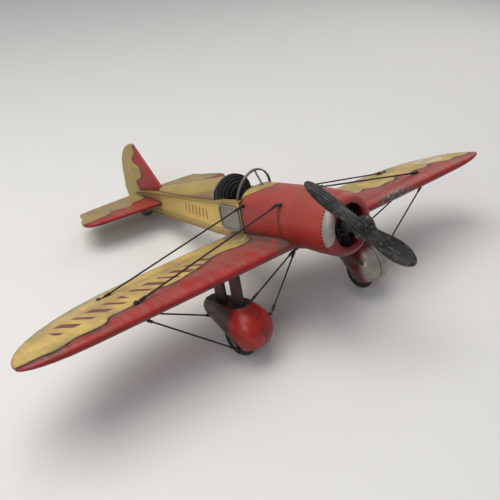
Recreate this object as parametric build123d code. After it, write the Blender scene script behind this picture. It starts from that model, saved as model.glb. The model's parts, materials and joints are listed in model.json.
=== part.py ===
"""Tinplate racing aeroplane: a low-wing, wire-braced shelf model with spatted wheels.

Everything is modelled in the airframe frame (mm): +X to the aeroplane's left wing, +Y to the
tail, +Z up, level fuselage, origin midway between the wheels at the height of the ground there.
At the end the whole model is pitched nose-up to the attitude in which it stands on its wheels
and tail skid, and moved so that the middle of its box stands on the origin.
"""
from build123d import *
from math import cos, pi, radians, sin, sqrt, tan
import os

# ------------------------------------------------------------------ driving dimensions, mm
SIT_ANGLE = 15.0                 # nose-up angle when it stands on wheels and skid
SHEET = 0.7                      # tinplate wall
THRUST_Z = 92.5                  # height of the propeller axis

# nose ring and engine
NOSE_R = 24.2
NOSE_SEAM_Y = -28.0
LIP_START_Y = -60.0
LIP_FRONT_Y = -68.0
MOUTH_R = 16.8
CYLINDERS = 9
CYLINDER_R = 4.7
CYLINDER_BASE_R = 8.0
CYLINDER_TOP_R = 21.6
ENGINE_Y = -53.0
CRANKCASE_R = 8.6
MOUNT_PLATE_Y = -41.0
FIN_PITCH = 1.5

# propeller
PROP_R = 70.0
PROP_Y = -80.5
PROP_ANGLE = 46.5                # of the blades from upright
HUB_R = 9.0
SHAFT_R = 2.0
RUNNING_GAP = 0.05               # radial clearance of everything that turns

# fuselage
COCKPIT_FRONT_Y = 32.0
COCKPIT_REAR_Y = 68.0
BODY_HALF = 20.0                 # half width of the cockpit section
TAIL_END_Y = 222.0
TAIL_END_HALF = 2.6
DECK_FRONT_Z = 104.2             # deck height at the cockpit's front
DECK_SLOPE = -0.0985
BELLY_FRONT_Z = 71.0
BELLY_SLOPE = -0.026
DECK_LIP = 1.1                   # overhang of the deck past the sides
COCKPIT_CUT_HALF = 16.4

# wing
SPAN_HALF = 239.0
WING_LE_Y = -25.0
WING_ROOT_TE_Y = 53.0
WING_THICK = 11.0
WING_LE_Z = 76.2                 # middle of the section at the leading edge
WING_SINK = 0.048                # how the section's middle falls towards the trailing edge
WING_TIP_Y = -12.0
WING_CURVE_X = 110.0             # where the trailing edge starts to curve in
TIP_CURVE_X = 195.0              # where the leading edge starts to curve back
WING_ROOT_X = 8.0                # inside the fuselage, cut back to its skin
WING_TAPER_X = 150.0             # where the section starts to thin towards the tip
WING_NOSE_PART = 0.13            # share of the chord taken by the round nose
WING_TAIL_PART = 0.975

# tail
STAB_Z = 79.6
STAB_THICK = 3.4
STAB_HALF = 84.0
FIN_THICK = 3.0

# wheels and spats
TRACK_HALF = 69.0                # from the middle to the centre of a spat
SPAT_SPLAY = 7.0                 # tails of the spats turned outward, degrees
SPAT_TOP_Z = 45.0
SPAT_NOSE_PART = 1.05            # length of the round nose, in half widths
SPAT_ROUNDING = 2 / 2.6
SPAT_ROWS = [                    # height, nose y, tail y, half width, half width at the tail
    (2.0, -15.0, 4.5, 5.0, 1.5),
    (6.0, -20.0, 8.5, 7.2, 1.7),
    (11.0, -24.0, 13.0, 9.9, 2.1),
    (16.0, -26.8, 16.5, 12.8, 2.7),
    (21.0, -28.4, 20.0, 15.2, 3.6),
    (28.0, -28.4, 26.0, 16.8, 5.0),
    (35.0, -25.4, 30.5, 15.6, 6.0),
    (41.0, -19.0, 30.0, 12.4, 6.0),
    (SPAT_TOP_Z, -13.6, 27.0, 8.8, 5.4),
]
WHEEL_R = 15.2
WHEEL_ROOM = 0.9                 # gap between the tyre and the edges of its opening
WHEEL_HALF_W = 4.0
TYRE_ROUND = 3.6                 # radius of the tyre's section
AXLE_R = 1.4
AXLE_HALF = 9.0

# bracing
WIRE_R = 0.65
BEAD_R = 2.0
BOSS_R = 1.3

os.makedirs("parts", exist_ok=True)
NODES = {}


# ------------------------------------------------------------------ small helpers
def side_prism(points, x0, x1):
    """Straight-sided outline in the Y-Z plane, stretched from x0 to x1."""
    face = make_face(Plane.YZ * Polyline(*points, close=True))
    return extrude(Pos(x0, 0, 0) * face, amount=x1 - x0, dir=(1, 0, 0))


def plan_prism(points, z0, z1):
    """Straight-sided outline seen from above, stretched from z0 to z1."""
    face = make_face(Polyline(*points, close=True))
    return extrude(Pos(0, 0, z0) * face, amount=z1 - z0)


def station(y):
    """Cross plane at y: its own x is the model's X, its own y is the model's Z."""
    return Plane(origin=(0, y, 0), x_dir=(1, 0, 0), z_dir=(0, -1, 0))


def turned(points, z=THRUST_Z, x=0.0):
    """Body of revolution about a fore-and-aft axis; points are (y, radius)."""
    ring = [(y, z + r) for y, r in points]
    face = make_face(Plane.YZ * Polyline(*ring, close=True))
    axis = Axis((0, 0, z), (0, 1, 0))
    return Pos(x, 0, 0) * revolve(face, axis, 360)


def rod(start, end, radius):
    """Round rod between two points."""
    a = Vector(*start)
    b = Vector(*end)
    plane = Plane(origin=a, z_dir=b - a)
    return extrude(plane * Circle(radius), amount=(b - a).length)


def largest(shape):
    """The biggest solid that is left after a cut."""
    return Part() + shape.solids().sort_by(SortBy.VOLUME)[-1]


def mirrored(shape):
    return mirror(shape, about=Plane.YZ)


def both_sides(name, left):
    """Store a left-hand piece and its mirror image."""
    NODES[name + "_left"] = left
    NODES[name + "_right"] = mirrored(left)


def deck_z(y):
    return DECK_FRONT_Z + DECK_SLOPE * (y - COCKPIT_FRONT_Y)


def belly_z(y):
    return BELLY_FRONT_Z + BELLY_SLOPE * (y - COCKPIT_FRONT_Y)


# ------------------------------------------------------------------ nose ring
def nose_shell():
    """Rolled nose ring: a slightly swollen drum whose front edge curls in to the mouth."""
    outside = [(NOSE_SEAM_Y, NOSE_R - 0.3), (-44.0, NOSE_R + 0.3), (LIP_START_Y, NOSE_R)]
    lip_depth = LIP_START_Y - LIP_FRONT_Y
    lip_height = NOSE_R - MOUTH_R - 1.2
    for step in range(1, 9):
        turn = radians(step * 90 / 8)
        y = LIP_START_Y - lip_depth * sin(turn)
        r = NOSE_R - lip_height * (1 - cos(turn))
        outside.append((y, r))
    inside = [(LIP_FRONT_Y + 0.4, MOUTH_R), (LIP_FRONT_Y + 1.6, MOUTH_R)]
    for step in range(6, -1, -1):
        turn = radians(step * 90 / 6)
        y = LIP_START_Y - (lip_depth - SHEET * 1.6) * sin(turn)
        r = NOSE_R - SHEET - (lip_height - SHEET) * (1 - cos(turn))
        inside.append((y, r))
    inside.append((-44.0, NOSE_R + 0.3 - SHEET))
    inside.append((NOSE_SEAM_Y, NOSE_R - 0.3 - SHEET))
    return turned(outside + inside)


def mouth_bead():
    """Wire rolled into the edge of the mouth."""
    circle = Plane.YZ * Pos(LIP_FRONT_Y + 2.4, THRUST_Z + MOUTH_R + 0.3) * Circle(0.8)
    bead = revolve(circle, Axis((0, 0, THRUST_Z), (0, 1, 0)), 360)
    return bead - NODES["nose_shell"]


# ------------------------------------------------------------------ engine
def engine_crankcase():
    """Stepped front case with a domed nose, and a drum behind it that the cylinders stand on."""
    case = turned([
        (-71.0, 0.0),
        (-71.0, 3.6),
        (-68.0, 5.2),
        (-63.0, 6.8),
        (-61.0, 6.8),
        (-61.0, CRANKCASE_R),
        (MOUNT_PLATE_Y - SHEET, CRANKCASE_R),
        (MOUNT_PLATE_Y - SHEET, 0.0),
    ])
    bolts = Part()
    for index in range(CYLINDERS):
        turn = radians(360 / CYLINDERS * (index + 0.5))
        spot = (7.6 * sin(turn), THRUST_Z + 7.6 * cos(turn))
        bolts += rod((spot[0], -61.0, spot[1]), (spot[0], -62.1, spot[1]), 0.7)
    bore = rod((0, -72, THRUST_Z), (0, -40, THRUST_Z), SHAFT_R + 1.4)
    return case + bolts - bore


def one_cylinder():
    """Upright finned cylinder with its head, pushrod tubes in front, standing on the case."""
    profile = [(0.0, CYLINDER_BASE_R), (CYLINDER_R - 1.4, CYLINDER_BASE_R)]
    height = CYLINDER_BASE_R + 0.8
    while height < CYLINDER_TOP_R - 2.4:
        profile.append((CYLINDER_R - 1.4, height))
        profile.append((CYLINDER_R, height))
        profile.append((CYLINDER_R, height + FIN_PITCH / 2))
        profile.append((CYLINDER_R - 1.4, height + FIN_PITCH / 2))
        height += FIN_PITCH
    profile.append((CYLINDER_R - 1.4, CYLINDER_TOP_R - 1.6))
    profile.append((2.0, CYLINDER_TOP_R))
    profile.append((0.0, CYLINDER_TOP_R))
    face = make_face(Plane.XZ * Polyline(*profile, close=True))
    barrel = revolve(face, Axis.Z, 360)
    for side in (-1, 1):
        barrel += rod(
            (side * 1.9, -CYLINDER_R + 0.4, CYLINDER_BASE_R + 1.2),
            (side * 1.9, -CYLINDER_R + 0.4, CYLINDER_TOP_R - 1.2),
            0.6,
        )
    case = rod((0, -8, 0), (0, 8, 0), CRANKCASE_R)
    return barrel - case


def engine_cylinders():
    """All cylinders, evenly spaced round the case, as separate solids in one group."""
    pieces = []
    cylinder = one_cylinder()
    for index in range(CYLINDERS):
        place = Pos(0, ENGINE_Y, THRUST_Z) * Rot(0, 360 / CYLINDERS * index, 0)
        pieces.append(place * cylinder)
    return Compound(children=pieces)


def engine_mount_plate():
    """Disc that closes the nose ring behind the engine."""
    disc = turned([
        (MOUNT_PLATE_Y, 0.0),
        (MOUNT_PLATE_Y, NOSE_R - SHEET),
        (MOUNT_PLATE_Y - SHEET, NOSE_R - SHEET),
        (MOUNT_PLATE_Y - SHEET, 0.0),
    ])
    hole = rod((0, -43, THRUST_Z), (0, -39, THRUST_Z), SHAFT_R + 1.4)
    return disc - hole - NODES["nose_shell"]


def shaft_bush():
    """Brass tube in the crankcase that the propeller shaft turns in."""
    tube = rod((0, -72.0, THRUST_Z), (0, -39.5, THRUST_Z), SHAFT_R + 1.4)
    bore = rod((0, -73.0, THRUST_Z), (0, -38.0, THRUST_Z), SHAFT_R + RUNNING_GAP)
    return tube - bore


# ------------------------------------------------------------------ propeller
def blade(direction):
    """One cast blade: narrow at the hub, widest past the middle, thin round tip, twisted."""
    outline = [
        (5.0, 10.0, 7.0, 52.0),
        (12.0, 11.5, 6.4, 48.0),
        (22.0, 14.6, 5.4, 44.0),
        (33.0, 17.2, 4.6, 40.0),
        (44.0, 17.6, 3.9, 37.0),
        (55.0, 15.4, 3.2, 34.0),
        (63.0, 11.6, 2.7, 32.0),
        (67.8, 7.4, 2.1, 31.0),
        (PROP_R, 3.2, 1.4, 31.0),
    ]
    sections = []
    turn = radians(PROP_ANGLE)
    out = Vector(-sin(turn), 0, cos(turn)) * direction
    across = Vector(cos(turn), 0, sin(turn)) * direction
    for radius, chord, thick, pitch in outline:
        angle = radians(pitch)
        chord_dir = across * cos(angle) + Vector(0, 1, 0) * sin(angle)
        centre = Vector(0, PROP_Y, THRUST_Z) + out * radius
        plane = Plane(origin=centre, x_dir=chord_dir, z_dir=out)
        sections.append(plane * Ellipse(chord / 2, thick / 2))
    return loft(sections)


def propeller():
    hub = turned([
        (PROP_Y - 4.4, 0.0),
        (PROP_Y - 4.4, 5.6),
        (PROP_Y - 3.4, 7.4),
        (PROP_Y - 1.4, HUB_R),
        (PROP_Y + 2.6, HUB_R),
        (PROP_Y + 5.0, 6.0),
        (PROP_Y + 8.5, 5.2),
        (PROP_Y + 8.5, 0.0),
    ])
    bore = rod((0, PROP_Y - 8, THRUST_Z), (0, PROP_Y + 12, THRUST_Z), SHAFT_R)
    return largest(hub + blade(1) + blade(-1) - bore)


def propeller_shaft():
    return rod((0, PROP_Y - 7.0, THRUST_Z), (0, -35.0, THRUST_Z), SHAFT_R)


def shaft_collar():
    """Ring pinned on the shaft behind the mount plate, which keeps it from pulling out."""
    collar = rod((0, -38.9, THRUST_Z), (0, -36.0, THRUST_Z), 4.2)
    return collar - rod((0, -40, THRUST_Z), (0, -34, THRUST_Z), SHAFT_R)


def propeller_washer():
    front = PROP_Y - 4.4
    ring = rod((0, front, THRUST_Z), (0, front - 0.9, THRUST_Z), 5.0)
    return ring - rod((0, front + 1, THRUST_Z), (0, front - 2, THRUST_Z), SHAFT_R)


def propeller_nut():
    """Domed hexagon nut on the end of the shaft."""
    front = PROP_Y - 5.3
    plane = Plane(origin=(0, front, THRUST_Z), x_dir=(1, 0, 0), z_dir=(0, -1, 0))
    nut = extrude(plane * RegularPolygon(3.9, 6), amount=2.0)
    dome = turned([
        (front - 2.0, 0.0),
        (front - 2.0, 3.1),
        (front - 3.2, 2.8),
        (front - 4.2, 1.8),
        (front - 4.6, 0.0),
    ])
    bore = rod((0, front + 1, THRUST_Z), (0, PROP_Y - 7.0, THRUST_Z), SHAFT_R)
    return nut + dome - bore


# ------------------------------------------------------------------ forward fuselage
def body_section(y, shrink=0.0):
    """Cross-section of the forward fuselage: round at the nose seam, a flat-bottomed
    arch at the cockpit."""
    part = (y - NOSE_SEAM_Y) / (COCKPIT_FRONT_Y - NOSE_SEAM_Y)
    half = 23.9 + (BODY_HALF + 0.9 - 23.9) * part - shrink
    top = 116.4 + (112.0 - 116.4) * part - shrink
    bottom = 68.6 + (70.4 - 68.6) * part + shrink
    middle = THRUST_Z + (91.2 - THRUST_Z) * part
    top_power = 2.0 + 1.3 * part
    bottom_power = 2.0 + 4.0 * max(0.0, part) ** 0.7
    points = []
    for step in range(36):
        turn = 2 * pi * step / 36
        c = cos(turn)
        s = sin(turn)
        power = top_power if s >= 0 else bottom_power
        height = top - middle if s >= 0 else middle - bottom
        x = half * (1 if c >= 0 else -1) * abs(c) ** (2 / power)
        z = middle + height * (1 if s >= 0 else -1) * abs(s) ** (2 / power)
        points.append((x, z))
    return make_face(station(y) * Spline(*points, periodic=True))


def body_solid(shrink=0.0, start=NOSE_SEAM_Y, end=COCKPIT_FRONT_Y):
    count = 6
    stations = [start + (end - start) * step / (count - 1) for step in range(count)]
    return loft([body_section(y, shrink) for y in stations])


def forward_fuselage():
    return BODY_SOLID - body_solid(SHEET, NOSE_SEAM_Y - 0.6, COCKPIT_FRONT_Y + 0.6)


def instrument_panel():
    """Plate across the back of the nose section, set in from the cockpit edge."""
    plate = body_solid(SHEET) & Pos(0, 28.0, 92) * Box(60, 0.8, 60)
    return plate


# ------------------------------------------------------------------ rear fuselage
def half_width(y):
    """Half width of the rear fuselage: parallel at the cockpit, then tapering to the stern."""
    if y <= 69.0:
        return BODY_HALF
    return BODY_HALF + (TAIL_END_HALF - BODY_HALF) * (y - 69.0) / (TAIL_END_Y - 69.0)


def side_strip(offset, thick, start=COCKPIT_FRONT_Y, end=TAIL_END_Y):
    """Upright sheet that follows the fuselage side, offset outward from it."""
    outer = [(half_width(y) + offset, y) for y in (start, 69.0, end)]
    inner = [(half_width(y) + offset - thick, y) for y in (end, 69.0, start)]
    return plan_prism(outer + inner, 60, 110)


def side_band(low, high, start=COCKPIT_FRONT_Y, end=TAIL_END_Y):
    """Side-view band between two heights, each given as a function of y."""
    points = [(start, low(start)), (end, low(end)), (end, high(end)), (start, high(start))]
    return side_prism(points, 0, 40)


def side_panel():
    """Left side sheet with a pressed ridge along its top and bottom edges."""
    def sheet_top(y):
        return deck_z(y) - SHEET

    panel = side_strip(0.0, SHEET) & side_band(belly_z, sheet_top)
    ridge_start = COCKPIT_FRONT_Y + 30.0
    ridges = side_strip(0.45, 0.6, ridge_start, TAIL_END_Y - 6.0)
    panel += ridges & side_band(lambda y: sheet_top(y) - 3.6, lambda y: sheet_top(y) - 2.4,
                                ridge_start, TAIL_END_Y - 6.0)
    panel += ridges & side_band(lambda y: belly_z(y) + 3.4, lambda y: belly_z(y) + 4.6,
                                ridge_start, TAIL_END_Y - 6.0)
    panel += side_strip(0.6, 1.0) & side_band(belly_z, lambda y: belly_z(y) + 0.7)
    return panel


def belly_panel():
    inset = SHEET
    right = [(-half_width(y) + inset, y) for y in (TAIL_END_Y, 69.0, COCKPIT_FRONT_Y)]
    left = [(half_width(y) - inset, y) for y in (COCKPIT_FRONT_Y, 69.0, TAIL_END_Y)]
    plan = plan_prism(left + right, 60, 80)
    points = [
        (COCKPIT_FRONT_Y, belly_z(COCKPIT_FRONT_Y)),
        (TAIL_END_Y, belly_z(TAIL_END_Y)),
        (TAIL_END_Y, belly_z(TAIL_END_Y) + SHEET),
        (COCKPIT_FRONT_Y, belly_z(COCKPIT_FRONT_Y) + SHEET),
    ]
    return plan & side_prism(points, -40, 40)


def deck_plate():
    """Flat deck that caps the sides and overhangs them, cut out for the cockpit."""
    left = [(half_width(y) + DECK_LIP, y) for y in (COCKPIT_FRONT_Y, 69.0, TAIL_END_Y)]
    right = [(-x, y) for x, y in reversed(left)]
    points = [
        (COCKPIT_FRONT_Y, deck_z(COCKPIT_FRONT_Y)),
        (TAIL_END_Y, deck_z(TAIL_END_Y)),
        (TAIL_END_Y, deck_z(TAIL_END_Y) - SHEET),
        (COCKPIT_FRONT_Y, deck_z(COCKPIT_FRONT_Y) - SHEET),
    ]
    plate = plan_prism(left + right, 60, 120) & side_prism(points, -40, 40)
    length = COCKPIT_REAR_Y - COCKPIT_FRONT_Y + 2.0
    middle = (COCKPIT_REAR_Y + COCKPIT_FRONT_Y - 2.0) / 2
    return plate - Pos(0, middle, 100) * Box(2 * COCKPIT_CUT_HALF, length, 30)


def arch_face(y, half, height, base):
    """Half-ellipse standing on the deck at y."""
    oval = station(y) * Pos(0, base) * Ellipse(half, height)
    keep = station(y) * Pos(0, base + height / 2 + 0.5) * Rectangle(2 * half + 4, height + 1)
    return oval & keep


def turtle_solid(shrink):
    front = COCKPIT_REAR_Y + 1.0 - (0.5 if shrink else 0.0)
    rear = 181.0 + (0.5 if shrink else 0.0)
    stations = [
        (front, 19.4, 14.8),
        (110.0, 14.9, 11.2),
        (150.0, 9.6, 7.2),
        (rear, 3.6, 3.6),
    ]
    faces = []
    for y, half, height in stations:
        faces.append(arch_face(y, half - shrink, height - shrink, deck_z(y)))
    return loft(faces)


def turtle_deck():
    """Half-cone fairing behind the cockpit."""
    return turtle_solid(0.0) - turtle_solid(SHEET)


def turtle_deck_rim():
    """Bare metal band round the front edge of the fairing."""
    front = COCKPIT_REAR_Y + 1.0
    base = deck_z(front)
    band = arch_face(front, 20.3, 15.7, base) - arch_face(front, 18.2, 13.6, base)
    band = extrude(band, amount=1.3, dir=(0, -1, 0))
    return band - NODES["deck_plate"]


def headrest():
    """Ridged black head fairing: arched steps that shrink towards the front."""
    steps = [
        (COCKPIT_REAR_Y - 0.4, 3.4, 18.8, 16.6),
        (COCKPIT_REAR_Y - 3.8, 1.8, 17.0, 15.2),
        (COCKPIT_REAR_Y - 5.6, 1.6, 14.6, 13.2),
        (COCKPIT_REAR_Y - 7.2, 1.4, 11.6, 10.8),
        (COCKPIT_REAR_Y - 8.6, 1.2, 8.0, 7.6),
    ]
    shape = Part()
    for rear, depth, half, height in steps:
        face = arch_face(rear, half, height, deck_z(COCKPIT_REAR_Y) + 0.1)
        shape += extrude(face, amount=depth, dir=(0, -1, 0))
    foot = Pos(0, COCKPIT_REAR_Y - 4.4, deck_z(COCKPIT_REAR_Y) - 3.0) * Box(30, 7, 7)
    return shape + foot - NODES["deck_plate"] - NODES["turtle_deck_rim"]


def cockpit_floor():
    width = 2 * (BODY_HALF - SHEET)
    middle = (COCKPIT_FRONT_Y + COCKPIT_REAR_Y) / 2 + 1.0
    return Pos(0, middle, 82.0) * Box(width, COCKPIT_REAR_Y - COCKPIT_FRONT_Y, SHEET)


def windscreen_hoop():
    """Flat strip bent into an arch that leans forward over the cockpit's front."""
    foot_y = COCKPIT_FRONT_Y + 5.5
    foot_z = deck_z(foot_y) - 0.4
    lean = Plane(origin=(0, foot_y, foot_z), x_dir=(1, 0, 0), z_dir=(0, -1, -0.25))
    ring = Ellipse(18.5, 22.6) - Ellipse(17.3, 21.4)
    ring = ring & Pos(0, 12) * Rectangle(44, 24)
    hoop = extrude(lean * ring, amount=1.0, both=True)
    return largest(hoop - NODES["deck_plate"])


def windscreen_strut():
    top = (0, COCKPIT_FRONT_Y + 0.3, 124.6)
    foot = (0, COCKPIT_FRONT_Y - 8.0, 111.4)
    return largest(rod(top, foot, 0.8) - BODY_SOLID - NODES["windscreen_hoop"])


def access_door():
    """Raised cover on the fuselage side with a rounded rim."""
    centre = (COCKPIT_FRONT_Y + 17.0, 87.6)
    plane = Plane.YZ.offset(BODY_HALF)
    plate = extrude(plane * Pos(*centre) * RectangleRounded(26.0, 22.5, 5.0), amount=0.5)
    rim = RectangleRounded(26.0, 22.5, 5.0) - RectangleRounded(23.0, 19.5, 3.6)
    plate += extrude(plane * Pos(*centre) * rim, amount=1.1)
    return plate


def stern_cap():
    """Small block that closes the stern between the belly and the tailplane."""
    low = belly_z(TAIL_END_Y) + SHEET + 0.1
    high = STAB_Z
    size = (2 * (TAIL_END_HALF - SHEET), 2.0, high - low)
    cap = Pos(0, TAIL_END_Y - 1.0, (low + high) / 2) * Box(*size)
    return largest(cap - NODES["stabilizer"])


# ------------------------------------------------------------------ wing
def leading_edge(x):
    if x <= TIP_CURVE_X:
        return WING_LE_Y
    part = (x - TIP_CURVE_X) / (SPAN_HALF - TIP_CURVE_X)
    return WING_LE_Y + (WING_TIP_Y - WING_LE_Y) * (1 - sqrt(max(0.0, 1 - part ** 2)))


def trailing_edge(x):
    if x <= WING_CURVE_X:
        return WING_ROOT_TE_Y - 3.0 * x / WING_CURVE_X
    part = (x - WING_CURVE_X) / (SPAN_HALF - WING_CURVE_X)
    return WING_TIP_Y + (WING_ROOT_TE_Y - 3.0 - WING_TIP_Y) * sqrt(max(0.0, 1 - part ** 2.2))


def wing_thickness(x):
    part = max(0.0, (x - WING_TAPER_X) / (SPAN_HALF - WING_TAPER_X))
    return WING_THICK * sqrt(max(0.0, 1 - part ** 2.4)) * (1 - 0.12 * x / SPAN_HALF)


def chord_plane_z(y):
    return WING_LE_Z - WING_SINK * (y - WING_LE_Y)


def wing_half_thickness(part, thick, edge):
    """Half thickness along the chord: blunt round nose, long taper, thin rounded tail."""
    if part < WING_NOSE_PART:
        return thick / 2 * sqrt(max(0.0, 1 - (1 - part / WING_NOSE_PART) ** 2))
    taper = ((part - WING_NOSE_PART) / (1 - WING_NOSE_PART)) ** 1.6
    half = edge + (thick / 2 - edge) * (1 - taper)
    if part > WING_TAIL_PART:
        half *= sqrt(max(0.0, 1 - ((part - WING_TAIL_PART) / (1 - WING_TAIL_PART)) ** 2))
    return half


def wing_section(x, shrink):
    """Closed aerofoil outline at x, drawn in by shrink."""
    front = leading_edge(x) + shrink
    rear = trailing_edge(x) - shrink * 6
    thick = wing_thickness(x) - 2 * shrink
    edge = min(0.6, thick / 4)
    points = []
    for step in range(36):
        part = 0.5 * (1 - cos(pi * step / 18))
        y = front + (rear - front) * part
        side = 1 if step <= 18 else -1
        points.append((y, chord_plane_z(y) + side * wing_half_thickness(part, thick, edge)))
    return make_face(Plane.YZ.offset(x) * Spline(*points, periodic=True))


def wing_solid(shrink=0.0):
    """Left wing half from inside the fuselage to the rounded tip."""
    root = WING_ROOT_X - shrink
    tip = SPAN_HALF - 0.4 - shrink * 4
    spans = [root, 60.0, 110.0]
    for turn in (0, 15, 28, 40, 50, 58, 65, 71, 76, 80, 84, 87, 90):
        if shrink == 0.0 or turn < 85:
            spans.append(WING_TAPER_X + (tip - WING_TAPER_X) * sin(radians(turn)))
    return loft([wing_section(x, shrink) for x in spans], ruled=True)


def seam_halves():
    """Spaces above and below the seam that joins the two skins of a wing half."""
    front = (WING_LE_Y - 10, 74.6)
    rear = (WING_ROOT_TE_Y + 10, 72.0)
    above = side_prism([front, rear, (rear[0], 95), (front[0], 95)], 0, 250)
    below = side_prism([front, rear, (rear[0], 60), (front[0], 60)], 0, 250)
    return above, below


# ------------------------------------------------------------------ tail
def stabilizer():
    """One flat, round-edged tailplane through slots in the fuselage sides."""
    nose = (0.0, 173.0)
    shoulder = (70.0, 180.5)
    heel = (47.0, 230.0)
    tail = (0.0, 232.0)
    tip = Spline(
        shoulder, (STAB_HALF - 0.4, 196.0), (STAB_HALF - 12.0, 220.0), heel,
        tangents=[(70.0, 7.5), (-47.0, 2.0)],
    )
    left = [Line(nose, shoulder), tip, Line(heel, tail)]
    right = [mirror(edge, about=Plane.YZ) for edge in left]
    sheet = extrude(make_face(left + right), amount=STAB_THICK / 2, both=True)
    rims = [e for e in sheet.edges() if abs(e.tangent_at(0.5).Z) < 0.01]
    return Pos(0, 0, STAB_Z) * fillet(rims, STAB_THICK / 2 - 0.4)


def fin():
    """Upright tail sheet: straight raked front edge, round back, standing on the deck."""
    base_y = 181.4
    post_y = TAIL_END_Y + 0.2
    stab_top = STAB_Z + STAB_THICK / 2 + 0.1
    top_front = (218.6, 133.2)
    curve = Spline(
        top_front, (226.0, 133.6), (238.5, 127.6), (245.2, 119.0), (249.2, 105.8), (251.0, 90.6),
        (248.5, 75.6),
        tangents=[(0.8, 0.6), (-0.35, -1)],
    )
    lines = Polyline(
        (248.5, 75.6), (233.2, 76.6), (233.2, stab_top), (post_y, stab_top),
        (post_y, deck_z(post_y) + 0.05), (base_y, deck_z(base_y) + 0.05), (base_y, 93.4), top_front,
    )
    face = make_face(Plane.YZ * Curve([curve, lines]))
    sheet = extrude(face, amount=FIN_THICK / 2, both=True)
    rims = [e for e in sheet.edges() if abs(e.tangent_at(0.5).X) < 0.01]
    rims = [e for e in rims if e.center().Y > 235 or e.center().Z > 100]
    return fillet(rims, FIN_THICK / 2 - 0.4)


def tail_skid():
    """Bent strip under the stern whose foot lies flat on the ground."""
    slope = tan(radians(SIT_ANGLE))
    heel = (219.0, 219.0 * slope)
    toe = (229.0, 229.0 * slope)
    points = [
        (196.0, belly_z(196.0)), (209.0, belly_z(209.0)),
        (219.5, heel[1] + 1.25), (228.6, toe[1] + 1.1),
        (231.5, toe[1] + 3.4), (232.3, toe[1] + 2.7), toe, heel,
        (208.6, belly_z(208.6) - 1.1), (196.0, belly_z(196.0) - 1.1),
    ]
    return side_prism(points, -3.5, 3.5)


# ------------------------------------------------------------------ spats and wheels
def wheel_height():
    """Height of the wheel's centre above the ground so that the splayed tyre just touches."""
    lean = sin(radians(SPAT_SPLAY)) * sin(radians(SIT_ANGLE))
    core = WHEEL_R - TYRE_ROUND
    return core * sqrt(1 - lean ** 2) + TYRE_ROUND


def wheel_centre():
    """Left wheel centre in the airframe frame, above the ground origin."""
    height = wheel_height()
    sit = radians(SIT_ANGLE)
    return Vector(TRACK_HALF, -height * sin(sit), height * cos(sit))


def spat_place():
    """From the spat's own frame, whose origin is under the wheel centre, to the left side."""
    centre = wheel_centre()
    return Pos(centre.X, centre.Y, 0) * Rot(0, 0, -SPAT_SPLAY)


def spat_section(row, shrink):
    z, nose, tail, half, tail_half = row
    nose += shrink
    tail -= shrink
    half -= shrink
    tail_half -= shrink
    shoulder = nose + half * SPAT_NOSE_PART
    side = []
    for step in range(9):
        turn = radians(90 * step / 8)
        across = half * sin(turn) ** SPAT_ROUNDING
        side.append((across, shoulder - (shoulder - nose) * cos(turn) ** SPAT_ROUNDING))
    for part in (0.3, 0.6, 0.85):
        width = half + (tail_half - half) * part ** 1.3
        side.append((width, shoulder + (tail - 2.2 - shoulder) * part))
    side.append((tail_half, tail - 2.2))
    side.append((tail_half * 0.72, tail - 0.4))
    side.append((0.0, tail))
    other = [(-x, y) for x, y in reversed(side[1:-1])]
    return make_face(Pos(0, 0, z) * Spline(*(side + other), periodic=True))


def spat_solid(shrink=0.0):
    return loft([spat_section(row, shrink) for row in SPAT_ROWS])


def spat_shell():
    """Hollow spat, open below along a line that rises towards the nose."""
    hollow = spat_solid(SHEET)
    cover = Pos(0, 0, SPAT_TOP_Z - SHEET + 2.5) * Box(80, 90, 5)
    underside = side_prism([(-40, 20.0), (3.0, 4.8), (40, 4.8), (40, -10), (-40, -10)], -30, 30)
    height = wheel_centre().Z
    reach = WHEEL_HALF_W + WHEEL_ROOM
    room = rod((-reach, 0, height), (reach, 0, height), WHEEL_R + WHEEL_ROOM)
    return spat_solid() - hollow - cover - underside - room


def spat_top_plate():
    slab = Pos(0, 0, SPAT_TOP_Z - SHEET / 2) * Box(80, 90, SHEET)
    return spat_solid() & slab


def tyre():
    """Tyre on an upright wheel whose axis is X, centred on the wheel centre."""
    core = WHEEL_R - TYRE_ROUND
    ring = revolve(Plane.XZ * Pos(0, core) * Ellipse(WHEEL_HALF_W, TYRE_ROUND), Axis.X, 360)
    bore = rod((-8, 0, 0), (8, 0, 0), core - 1.2)
    return ring - bore


def wheel_hub():
    """Dished wheel with a boss that runs on the axle."""
    core = WHEEL_R - TYRE_ROUND - 1.2
    profile = [
        (-3.0, 0.0), (-3.4, 3.0), (-1.2, 4.6), (-0.7, 8.6), (-2.4, core),
        (2.4, core), (0.7, 8.6), (1.2, 4.6), (3.4, 3.0), (3.0, 0.0),
    ]
    disc = revolve(make_face(Plane.XZ * Polyline(*profile, close=True)), Axis.X, 360)
    return disc - rod((-8, 0, 0), (8, 0, 0), AXLE_R + RUNNING_GAP)


def axle():
    return rod((-AXLE_HALF, 0, 0), (AXLE_HALF, 0, 0), AXLE_R)


def gear_strut(centre_y):
    """Flat streamlined leg from the spat's top plate to the underside of the wing."""
    outline = Pos(0, centre_y) * SlotOverall(11.4, 3.4, rotation=90)
    leg = SPAT_PLACE * extrude(Pos(0, 0, SPAT_TOP_Z) * outline, amount=40)
    below = (leg - WING_SOLID).solids().sort_by(Axis.Z)[0]
    return Part() + below


# ------------------------------------------------------------------ bracing
# end points of the left-hand wires, airframe frame
EYELET = (19.6, -16.0, 107.6)
COCKPIT_CORNER = (21.2, 28.0, 101.2)
WING_FRONT_BEAD = (150.7, -10.0, 81.2)
WING_REAR_BEAD = (157.3, 33.0, 75.0)
UNDER_WING_FRONT_BEAD = (151.0, -15.5, 71.0)
UNDER_WING_REAR_BEAD = (147.0, -4.0, 70.6)
BELLY_BEAD = (12.0, -18.0, 70.4)


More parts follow.
